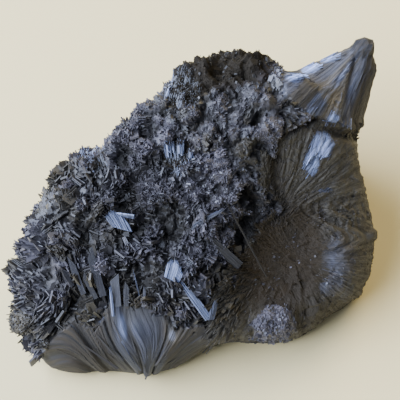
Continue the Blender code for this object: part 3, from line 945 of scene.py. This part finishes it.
def grow_stone(context):
    """Builds the stone with its crust and breaks, and stores on it what crystals and finishes read."""
    stone = context.scene.goethite_stone
    rng = np.random.default_rng(SEED)
    mesh, directions = stone_mesh()
    smooth = pushed_out(directions)
    normals = outward(smooth)
    share = zones(smooth, normals, rng)
    across, up = seen(smooth)
    from_edge = crust_side(across, up)
    ahead = soft_step(normals @ OUT, -.1, .3)

    def near(middle, reach):
        return mound(across, up, middle, reach)

    # The crust's rosettes, lumps and tufts
    count = int(STONE_AREA / stone.rosette_size ** 2)
    starts = scattered(rng, smooth, count)
    start_normals = outward(starts)
    starts = starts - start_normals * stone.rosette_depth
    index, _, gap = Cells(starts).nearest(smooth)
    leans = unit(start_normals + rng.normal(size=(count, 3)) * .75)
    looks = unit(rng.normal(size=(count, 3)))
    grain = unit(.55 * unit(smooth - starts[index]) + leans[index])
    side = looks[index]
    bulk = rng.uniform(.6, 1.5, count)[index] * (1.35 - .75 * soft_step(across + up, -35, 25))
    hue = rng.random(count)[index]
    lump, far, _ = Cells(scattered(rng, smooth, LUMPS)).nearest(smooth)
    shaded_pit = (rng.random(LUMPS) < .10)[lump] * soft_step(4.2 - far, 0, 1.6)
    recess = np.max([near(*place) for place in RECESSES], 0)
    shaded_pit = np.maximum(shaded_pit, recess * rng.uniform(.5, 1, LUMPS)[lump])
    patch = .5 * rng.random(LUMPS)[lump] + .5 * rng.random(count)[index]
    dark_top = near(*DARK_TOP)
    # The crust is darker towards its left edge and its top
    patch *= 1 - .1 * soft_step(-across, 24, 42) - .35 * soft_step(up, 20, 32) - .3 * dark_top
    patch = np.maximum(patch, .75 * near(BULGE, 1.3 * BULGE_REACH))
    violet = .35 * np.max([near(*place) for place in VIOLET], 0)
    patch = patch * (1 - violet) + violet * (.4 + .6 * patch)
    hue = .6 * rng.random(LUMPS)[lump] + .4 * hue + .1 * soft_step(-up, 5, 25)
    hue = hue - .12 * soft_step(up, 0, 15)
    tuft, from_tuft, _ = Cells(scattered(rng, smooth, TUFTS)).nearest(smooth)
    # No tufts grow round the short plates that face the window
    clear = np.zeros(len(up))
    for *corners, _, _, faces, _, _ in PLATES:
        spread = .5 * math.dist(corners[0], corners[3]) + 1.2
        clear = np.maximum(clear, near(np.mean(corners, 0), spread) * (faces > .4) * (spread < 6))
    coarse = soft_step(-across - up, 5, 40)
    mossy = stone.tufts * (.6 + .8 * rng.random(LUMPS)[lump]) * (1 - .5 * dark_top) * (1 - .55 * coarse)
    tufted = (rng.random(TUFTS)[tuft] < mossy) * soft_step(2.3 - from_tuft, 0, .8) * (1 - shaded_pit)
    tufted *= 1 - clear
    crust_height = 1.3 - 1.4 * np.minimum(far / 5.0, 1) ** 2 - stone.pit_depth * shaded_pit
    crust_height += 1.3 * tufted - .5 - .6 * clear
    crust_height += rng.uniform(-.7, .4, count)[index] - stone.crevice * (1 - soft_step(gap, 0, 1.2))
    crust_height += broken_flats(rng, smooth, CRUST_FLATS)
    inner = soft_step(-up, -2, 5) * soft_step(9 - from_edge, 0, 9)
    crust_height += 1.2 * dark_top - 1.3 * inner
    # Painted shade: the crust darkens where it lies low, in its pits and crevices, and each lump has its
    # own random tone; it is also a little darker near its lower right edge
    shade = soft_step(crust_height, -2.6, 1.2) * rng.uniform(.6, 1, LUMPS)[lump]
    shade *= (1 - .8 * dark_top) * (1 - .15 * inner)

    # Which way the fibres run: angle and distance from where each kind starts. The thread holds
    # both for their streaks, with a step between kinds so that no two have the same streaks.
    lower = soft_step(-up, 0, 12)
    centre = [a + (b - a) * lower for a, b in zip(UPPER_CENTRE, LOWER_CENTRE)]
    fan, horn, broken, back = [share[k] for k in ("fan", "horn", "broken", "back")]
    fan_angle, fan_far = around(across, up, FAN_FOCUS, -90)
    fan_angle = fan_angle + .10 * np.sin(fan_far / 5.5 + 4 * fan_angle)
    horn_angle, horn_far = around_horn(smooth)
    split_angle, split_far = around(across, up, centre, 180)
    back_way = unit(smooth - from_face([BACK_CENTRE]))
    angle = np.where(fan > .5, fan_angle, split_angle)
    reach = np.where(fan > .5, fan_far, split_far)
    thread = np.stack([angle, reach / STRETCH, 3 * (fan > .5)], -1)
    thread = np.where((back > .5)[:, None], back_way, thread)
    round_horn = np.stack([np.cos(horn_angle), np.sin(horn_angle), 6 + horn_far / STRETCH], -1)
    thread = np.where((horn > .5)[:, None], round_horn, thread)

    # The relief of their bundles
    sheaf = strips(rng, fan_angle, fan_far, *FAN_BUNDLES)
    fan_middle = 1 - soft_step(np.abs(across - FAN_AXIS), 5.0, 9.5)
    streaky = np.where(fan > .5, 1.05 - .72 * fan_middle + .5 * (.6 - sheaf),
                       .4 + .5 * rng.random(40)[np.floor(horn_angle * 6).astype(int) % 40])
    hue = np.where(share["crust"] > .5, hue, np.clip(streaky, 0, 1))
    hollow = np.hypot((across - HOLLOW_MIDDLE[0]) / HOLLOW_REACH[0],
                      (up - HOLLOW_MIDDLE[1]) / HOLLOW_REACH[1])
    calm = .35 + .65 * soft_step(hollow, .6, 1.1)
    fan_fine = strips(rng, fan_angle, fan_far, *FAN_FIBRES)
    bundles = fan * (1.1 * sheaf + .25 * fan_fine * soft_step(fan_far, 3, 12) - .2)
    from_valley = from_line(across, up, HORN_VALLEY)
    horn_fine = strips(rng, horn_angle, horn_far, *HORN_FIBRES)
    bundles += horn * (.55 * strips(rng, horn_angle, horn_far, *HORN_BUNDLES) + .22 * horn_fine
                       - 1.2 * np.exp(-(from_valley / 1.0) ** 2) + .7 * share["ends"] - .4)
    split_fine = strips(rng, split_angle, split_far, *SPLIT_FIBRES)
    split_wide = strips(rng, split_angle, split_far, *SPLIT_BUNDLES)
    bundles += broken * calm * (.45 * split_wide + .25 * split_fine - .4)
    for part, flats in ((broken, BROKEN_FLATS), (broken * near(*KNOBBY), KNOBBY_FLATS)):
        bundles += part * broken_flats(rng, smooth, flats)
    for flats in BACK_BREAKS:
        bundles += back * broken_flats(rng, back_way, flats, unit(rng.normal(size=(flats[0], 3))))
    bundles *= stone.bundle_relief
    for middle, wide, tall in KNOBS:
        bundles += tall * ahead * near(middle, wide) * (1 - share["crust"])
    notch = np.exp(-((along_notch(across, up) - NOTCH) / 1.5) ** 2) * soft_step(across, 26, 29) * broken
    notch *= .35 + .65 * soft_step(across, 31, 38)
    beside = np.exp(-((from_edge + 1.8) / 1.5) ** 2) * soft_step(up, -9, -4) * broken
    bundles -= 2.0 * notch + .9 * beside

    # Where crystals and fibres are glossier and where fibres get a painted sheen, and the patches that
    # stand the same way
    bright = np.max([strength * near(middle, size) for middle, size, strength in MIRRORED_SHEEN], 0)
    bright *= ahead * (1 - share["crust"])
    hue = hue * (1 - np.clip(1.5 * bright, 0, 1))
    mottle = rng.random(TUFTS)[tuft]
    rim = ahead * mound(across + 2 * mottle, up, RIM, RIM_REACH) * (.35 + .65 * mottle)
    gloss_and_painted_sheen = .36 * horn * soft_step(1.5 - np.sign(across - HORN_CREST) * from_valley, 0, 1.5)
    gloss_and_painted_sheen = gloss_and_painted_sheen + .24 * rim + bright + .04 * fan * fan_middle
    gloss_and_painted_sheen = np.maximum(gloss_and_painted_sheen, .5 * broken * near(BULGE, BULGE_REACH))
    gloss_and_painted_sheen = np.maximum(gloss_and_painted_sheen, .3 * share["crust"] * coarse * (rng.random(TUFTS)[tuft] > .55)) * ahead
    gloss_and_painted_sheen *= .45 + .7 * np.select([horn > .5, broken > .5], [horn_fine, split_fine], .8)
    # Slivers are the glossiest of the patches, and their silky streaks get the strongest painted sheen
    mirror = window_mirror()
    slivers = np.zeros(len(up))
    for (a, u), radius, way, faces, size, gloss in ALIGNED:
        within = soft_step(radius - np.hypot(across - a, up - u), -1, 1) * share["crust"]
        slivers = np.maximum(slivers, within * ahead * (gloss > .65) * (faces > .5))
        growth = face_way(way)
        growth = growth - mirror * (growth @ mirror) * faces
        grain = grain * (1 - within[:, None]) + (growth + .2 * grain) * within[:, None]
        side = side * (1 - faces * within[:, None]) + mirror * faces * within[:, None]
        bulk = bulk * (1 - within) + size * within
        gloss_and_painted_sheen = gloss_and_painted_sheen * (1 - within) + gloss * within
    # Fibres lie along the surface and point away from where they start
    rays = np.where((horn > .5)[:, None], HORN_TIP, np.stack(centre, -1))
    rays = np.where((fan > .5)[:, None], FAN_FOCUS, rays)
    outbound = np.stack([across - rays[:, 0], up - rays[:, 1], np.zeros(len(up))], -1) @ AXES.T
    outbound = np.where((back > .5)[:, None], back_way, outbound)
    lying = outbound - normals * np.einsum("ij,ij->i", outbound, normals)[:, None]
    crust = share["crust"][:, None]
    grain = unit(grain * crust + unit(lying) * (1 - crust))
    side = side * crust + normals * (1 - crust)
    side = unit(side * (1 - bright[:, None]) + mirror * bright[:, None])
    grain = unit(grain - mirror * (np.einsum("ij,j->i", grain, mirror) * bright)[:, None])
    above = soft_step(smooth[:, 2], REST_CUT, REST_CUT + 3)
    share["bright"] = np.maximum(bright * (1 - fan), .9 * slivers) * above
    hue = hue * (1 - slivers) * (1 - .1 * rim)
    patch = patch * (1 - .8 * slivers)
    # The points move out by their height, but not under the table
    height = share["crust"] * crust_height + bundles
    places = smooth + normals * (height * above)[:, None]
    places[:, 2] = np.maximum(places[:, 2], REST_CUT)

    # The share of each spray, and how dim with painted shade, rusty and silky the stone is
    share["soot"] = share["crust"] * np.maximum(soft_step(dark_top, .2, .5), .8 * slivers)
    share["moss"] = share["crust"] * tufted * (1 - share["soot"])
    share["fan"] = fan * soft_step(smooth[:, 2], 10, 13)
    share["crust"] = share["crust"] * (1 - .75 * np.clip(shaded_pit + slivers + clear, 0, 1))
    share["crust"] = share["crust"] * (1 - .7 * share["soot"])
    share["bare"] = share["crust"] * (1 - .8 * tufted)
    # Painted shade: the crust keeps its shade, and the notch and the groove beside the crust are darkened
    shade = 1 - crust[:, 0] * (1 - shade) - .8 * np.clip(notch + beside, 0, 1)
    lobes = smooth_lobes(across, up, normals)
    # The crust is darker at the top and under the slivers
    shade -= .45 * np.maximum(slivers, dark_top * crust[:, 0])
    # Painted shade on the flanks of the swellings and along the crust's edge, and in the grooves between
    # the fan's sheaves
    for middle, wide, dim in PAINTED_SHADE:
        shade -= dim * broken * near(middle, wide)
    shade -= .7 * fan * (1 - soft_step(sheaf, .0, .35))
    tint = 1 - soft_step(hollow, .45, 1.15)
    loosely = .3 * (rng.random(TUFTS)[tuft] - .5)
    silky = np.clip(fan + horn + broken * (rim + bright + loosely > .3), 0, 1)
    hue = hue * (1 - near(BULGE, 1.3 * BULGE_REACH))
    loose = rng.random(TUFTS)[tuft] - .5
    gritty = near(BULGE, (1.1 * BULGE_REACH, .9 * BULGE_REACH))
    gritty = np.maximum(gritty, lobes * (across < 0)) + .5 * loose
    border = soft_step(9 + from_edge, 0, 6) * soft_step(-up, -3, 4)
    border = np.maximum(border, soft_step(4.5 + from_edge, 0, 3)) * (1 + loose) * (1 - lobes)
    share["border"] = broken * ahead * np.clip(border, 0, 1)
    sparse = .004 + sum(amount * near(middle, wide) for middle, wide, amount in LOOSE_GRAINS)
    share["grit"] = broken * ahead * np.maximum(soft_step(gritty, .1, .6), sparse)
    share["broken"] = broken * (1 - .5 * share["grit"])

    # What the mesh, the crystals and the finishes get to know
    mesh.vertices.foreach_set("co", to_metres(places).astype(np.float32).ravel())
    mesh.update()
    read = {"grain": grain, "side": side, "thread": thread, "bulk": bulk, "tint": tint, "gloss_and_painted_sheen": gloss_and_painted_sheen,
            "shade": shade, "hue": hue, "patch": patch, "tone": rng.uniform(.0, .4, len(bulk))}
    for name, values in {**read, **share}.items():
        put_attribute(mesh, name, values)
    for finish in stone_finishes(context.scene.goethite_colours):
        mesh.materials.append(finish)
    dimmer_faces = np.maximum((crust[:, 0] + lobes > .5) * (dark_top > .3), slivers)
    choose_finishes(mesh, [("soot", dimmer_faces, .5), ("moss", share["grit"], .4), ("silk", silky, .5),
                           ("dull", broken + back, .5), ("dull", -smooth[:, 2], -REST_CUT - 2.4)])
    mesh.update()
    finish_piece(new_object("goethite_stone", mesh))


class GOETHITE_OT_stone(bpy.types.Operator):
    """Makes the stone itself: crust rosettes, fibre bundles, horn, fan and broken back"""
    bl_idname = "goethite.stone"
    bl_label = "Stone"

    def execute(self, context):
        grow_stone(context)
        return {"FINISHED"}


# Sprays: name, where they grow, shapes, finish, spacing, (length), (width), (thickness), lift off the
# surface, spread and roll of their directions, share of the length that is sunk
SPRAYS = [
    ("crust_facets", "crust", "plates", "blades", 3.0, (1.8, 3.2), (1.1, 2.1), (.5, 1.0), .1, .3, .25, .55),
    ("crust_plates", "bare", "plates", "blades", 1.9, (1.3, 2.4), (1.1, 2.2), (.4, .8), .15, .3, .2, .5),
    ("crust_blades", "bare", "blades", "blades", 1.1, (1.0, 2.2), (.4, 1.0), (.2, .4), .2, .3, .25, .5),
    ("crust_tufts", "moss", "blades", "moss", .42, (.6, 1.6), (.25, .65), (.1, .2), .4, .8, 1.0, .3),
    ("sooty_tufts", "soot", "shards", "soot", .36, (.4, 1.2), (.2, .5), (.2, .4), .4, .8, 1.0, .3),
    ("fan_fibres", "fan", "silk", "silk", 3.0, (3.0, 7.0), (.2, .4), (.1, .2), .0, .02, .2, .97),
    ("horn_fibres", "ends", "silk", "silk", 1.1, (2.0, 5.0), (.2, .5), (.15, .3), .03, .04, .3, .7),
    ("bright_streaks", "bright", "silk", "silk", .38, (2.0, 5.0), (.15, .4), (.1, .2), .0, .04, .15, .85),
    ("border_needles", "border", "dull", "dull", .55, (1.2, 3.6), (.2, .6), (.2, .4), .35, .3, .6, .4),
    ("broken_fibres", "broken", "dull", "dull", 1.1, (.6, 2.0), (.1, .25), (.1, .2), .0, .08, .4, .7),
    ("bulge_grains", "grit", "blades", "blades", .42, (.4, .9), (.25, .6), (.12, .25), .6, .9, 1.0, .35),
    ("back_fibres", "back", "dull", "dull", 1.3, (2.0, 6.0), (.5, 1.1), (.3, .6), .04, .08, .6, .5),
]


TRIES = 4.0         # places tried for each square as wide as the spacing


def spray_crystals(context, spray, tree, homes):
    """Grows one spray of crystals on the stone and returns it as a plain mesh object."""
    name, where, shapes, finish, spacing, *ranges, lift, spread, roll, sunk = spray
    knobs = context.scene.goethite_crystals
    stone = bpy.data.objects["goethite_stone"]
    carrier = new_object(name + "_carrier", stone.data.copy())
    modifier = carrier.modifiers.new("crystals", "NODES")
    modifier.node_group = tree
    values = {"Shapes": homes[shapes], "Where": where, "Spacing": spacing * MM, "Seed": SEED + len(name),
              "Density": knobs.density * TRIES / (spacing * MM) ** 2,
              "Lift": lift, "Spread": spread, "Roll": roll, "Sunk": sunk,
              "Finish": stone.data.materials[FINISHES.index(finish)]}
    sizes = (knobs.size, knobs.size, 1)
    for key, (low, high), size in zip(("Length", "Width", "Thickness"), ranges, sizes):
        values[key + " Min"] = low * MM * size
        values[key + " Max"] = high * MM * size
    for item in tree.interface.items_tree:
        if item.in_out == "INPUT" and item.name in values:
            modifier[item.identifier] = values[item.name]
    evaluated = carrier.evaluated_get(context.evaluated_depsgraph_get())
    mesh = bpy.data.meshes.new_from_object(evaluated)
    bpy.data.objects.remove(carrier, do_unlink=True)
    if not mesh.polygons:
        raise RuntimeError(name + ": no crystals grew")
    mesh.name = name
    keep_inside(mesh)
    return new_object(name, mesh)


class GOETHITE_OT_crystals(bpy.types.Operator):
    """Grows the crust's blades and the fibres of the fan, the horn, the hollow and the back"""
    bl_idname = "goethite.crystals"
    bl_label = "Crystals"

    def execute(self, context):
        tree = crystal_spray_tree()
        homes = {"blades": shape_collection("blade_shapes", BLADE_OUTLINES),
                 "plates": shape_collection("plate_shapes", BLADE_OUTLINES, with_books=True),
                 "silk": shape_collection("silk_shapes", FIBRE_OUTLINES),
                 "dull": shape_collection("dull_shapes", FIBRE_OUTLINES),
                 "shards": shard_collection()}
        for spray in SPRAYS:
            finish_piece(spray_crystals(context, spray, tree, homes))
        for home in homes.values():
            for shape in list(home.objects):
                bpy.data.objects.remove(shape, do_unlink=True)
            bpy.data.collections.remove(home)
        return {"FINISHED"}


LOOK_JITTER = .22       # how much the laths of a plate look different ways


def lay_blade(bm, outline, start, stop, look, width, thickness):
    """A flat blade from start to stop, its broad side facing along look.

    Returns how far across and along it each corner lies, in millimetres.
    """
    along = unit(stop - start)
    length = np.linalg.norm(stop - start)
    facing = unit(look - along * (look @ along))
    across = np.cross(facing, along)
    laid = [(a * width, up * length) for a, up in outline] * 2
    corners = []
    for k, (a, reach) in enumerate(laid):
        deep = (.5 if k < len(outline) else -.5) * thickness * (1 - .4 * reach / length)
        corners.append(bm.verts.new(to_metres(start + across * a + facing * deep + along * reach)))
    front, behind = corners[:len(outline)], corners[len(outline):]
    bm.faces.new(front)
    bm.faces.new(behind[::-1])
    for k in range(len(outline)):
        bm.faces.new((front[k - 1], behind[k - 1], behind[k], front[k]))
    return laid


def above_face(across, up, lift):
    """The point that is seen at (across, up) on the face and stands off the surface by lift."""
    _, way = sight(across, up)
    return on_face(across, up) - way * lift


class GOETHITE_OT_plates(bpy.types.Operator):
    """Sets the single striated plates, laths and needles that stand out of the crust"""
    bl_idname = "goethite.plates"
    bl_label = "Standing plates"

    def execute(self, context):
        rng = np.random.default_rng(SEED + 5)
        bm = bmesh.new()
        mirror = window_mirror()
        threads = []
        gloss_and_painted_sheen = []
        for foot_a, foot_b, end_a, end_b, laths, thickness, faces, lift, gloss in PLATES:
            feet = np.linspace(foot_a, foot_b, laths + 2)[1:-1] if laths > 1 else [foot_a]
            ends = np.linspace(end_a, end_b, laths + 2)[1:-1] if laths > 1 else [end_a]
            middle = np.mean([foot_a, foot_b, end_a, end_b], 0)
            out = outward(on_face(*middle)[None, :])[0]
            normal = unit(out * (1 - faces) + mirror * faces)
            width = .5 * (math.dist(foot_a, foot_b) + math.dist(end_a, end_b)) / laths
            points = [0] * laths
            if laths > 3:
                points = .3 * np.abs(np.linspace(-1, 1, laths) + rng.uniform(-.4, .4)) ** 2
            for foot, end, point in zip(feet, ends, points):
                start = above_face(*foot, .35 * lift)
                stop = above_face(*end, lift + .8)
                start = start + normal * rng.uniform(-.2, .2)
                stop = start + (stop - start) * (rng.uniform(.93, 1.05) - point)
                look = normal + unit(np.cross(normal, stop - start)) * rng.normal() * LOOK_JITTER
                outline = BLADE_OUTLINES["point" if width < .6 else ("slant", "chisel")[rng.integers(2)]]
                wide = max(width, .3) * (1.3 if laths > 9 else .95)
                laid = lay_blade(bm, outline, start, stop, look, wide, thickness * rng.uniform(.7, 1))
                shift = rng.uniform(-2, 2)
                threads += [(a / 20 + shift, reach / STRETCH, shift) for a, reach in laid]
                gloss_and_painted_sheen += [gloss * rng.uniform(.6, 1)] * len(laid)
        bmesh.ops.recalc_face_normals(bm, faces=bm.faces[:])
        mesh = bpy.data.meshes.new("standing_plates")
        bm.to_mesh(mesh)
        bm.free()
        put_attribute(mesh, "thread", threads)
        put_attribute(mesh, "gloss_and_painted_sheen", gloss_and_painted_sheen)
        gloss_and_painted_sheen = np.array(gloss_and_painted_sheen)
        put_attribute(mesh, "hue", np.where(gloss_and_painted_sheen > 0, .3, 1.0))
        # Painted shade dims the plates and needles that have little gloss and are not turned to the window
        put_attribute(mesh, "shade", np.where(gloss_and_painted_sheen > .1, 1.0, .45))
        keep_inside(mesh)
        striated = silky_goethite(context.scene.goethite_colours, "goethite, striated plates", 1.6)
        finish_piece(new_object("standing_plates", mesh), striated)
        return {"FINISHED"}


def soft_light(name, place, aim, size, power, colour):
    data = bpy.data.lights.new(name, "AREA")
    data.shape = "RECTANGLE"
    data.size, data.size_y = size
    data.energy = power
    data.color = colour
    made = bpy.data.objects.new(name, data)
    made.location = place
    made.rotation_euler = (Vector(aim) - Vector(place)).to_track_quat("-Z", "Y").to_euler()
    bpy.context.scene.collection.objects.link(made)


class GOETHITE_OT_stage(bpy.types.Operator):
    """Sets the pale floor, the soft lights and the camera"""
    bl_idname = "goethite.stage"
    bl_label = "Stage"

    def execute(self, context):
        scene = context.scene
        knobs = scene.goethite_stage
        bpy.ops.mesh.primitive_plane_add(size=6.0, location=(0, 0, 0))
        floor = context.active_object
        floor.name = "table"
        material = bpy.data.materials.new("painted board, matt")
        material.use_nodes = True
        feed(material.node_tree, material.node_tree.nodes["Principled BSDF"],
             [("Base Color", scene.goethite_colours.table), ("Roughness", .6)])
        floor.data.materials.append(material)

        middle = to_metres(FACE_CENTRE)
        soft_light("window", WINDOW_PLACE, middle, WINDOW_SIZE, knobs.window, WINDOW_COLOUR)
        soft_light("warm_lamp", LAMP_PLACE, middle, LAMP_SIZE, knobs.lamp, LAMP_COLOUR)
        world = scene.world or bpy.data.worlds.new("room")
        scene.world = world
        world.use_nodes = True
        sky = world.node_tree.nodes["Background"]
        feed(world.node_tree, sky, [("Color", SKY_COLOUR), ("Strength", knobs.sky)])

        camera = bpy.data.cameras.new("camera")
        camera.lens = LENS
        camera.sensor_width = SENSOR_WIDTH
        eye = bpy.data.objects.new("camera", camera)
        eye.location = to_metres(np.array(FACE_CENTRE) + OUT * EYE_DISTANCE)
        eye.rotation_euler = (math.radians(90 - FACE_SLOPE), 0, 0)
        scene.collection.objects.link(eye)
        scene.camera = eye
        return {"FINISHED"}


class GOETHITE_PT_panel(bpy.types.Panel):
    """The specimen's pieces in the order in which they are made"""
    bl_label = "Goethite Specimen"
    bl_idname = "GOETHITE_PT_panel"
    bl_space_type = "VIEW_3D"
    bl_region_type = "UI"
    bl_category = "Goethite"

    def draw(self, context):
        for group in GROUPS:
            box = self.layout.box()
            for name in GROUPS[group].__annotations__:
                box.prop(getattr(context.scene, group), name)
        for operator in OPERATORS:
            self.layout.operator(operator.bl_idname)


GROUPS = {"goethite_colours": GoethiteColours, "goethite_stone": GoethiteStone,
          "goethite_crystals": GoethiteCrystals, "goethite_stage": GoethiteStage}
OPERATORS = [GOETHITE_OT_stone, GOETHITE_OT_crystals, GOETHITE_OT_plates, GOETHITE_OT_stage]


def register():
    for kind in (*GROUPS.values(), *OPERATORS, GOETHITE_PT_panel):
        bpy.utils.register_class(kind)
    for name, kind in GROUPS.items():
        setattr(bpy.types.Scene, name, PointerProperty(type=kind))


def unregister():
    for name in GROUPS:
        delattr(bpy.types.Scene, name)
    for kind in (GOETHITE_PT_panel, *OPERATORS, *GROUPS.values()):
        bpy.utils.unregister_class(kind)


def main():
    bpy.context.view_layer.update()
    register()
    bpy.ops.goethite.stone()
    bpy.ops.goethite.crystals()
    bpy.ops.goethite.plates()
    bpy.ops.goethite.stage()


if __name__ == "__main__":
    main()
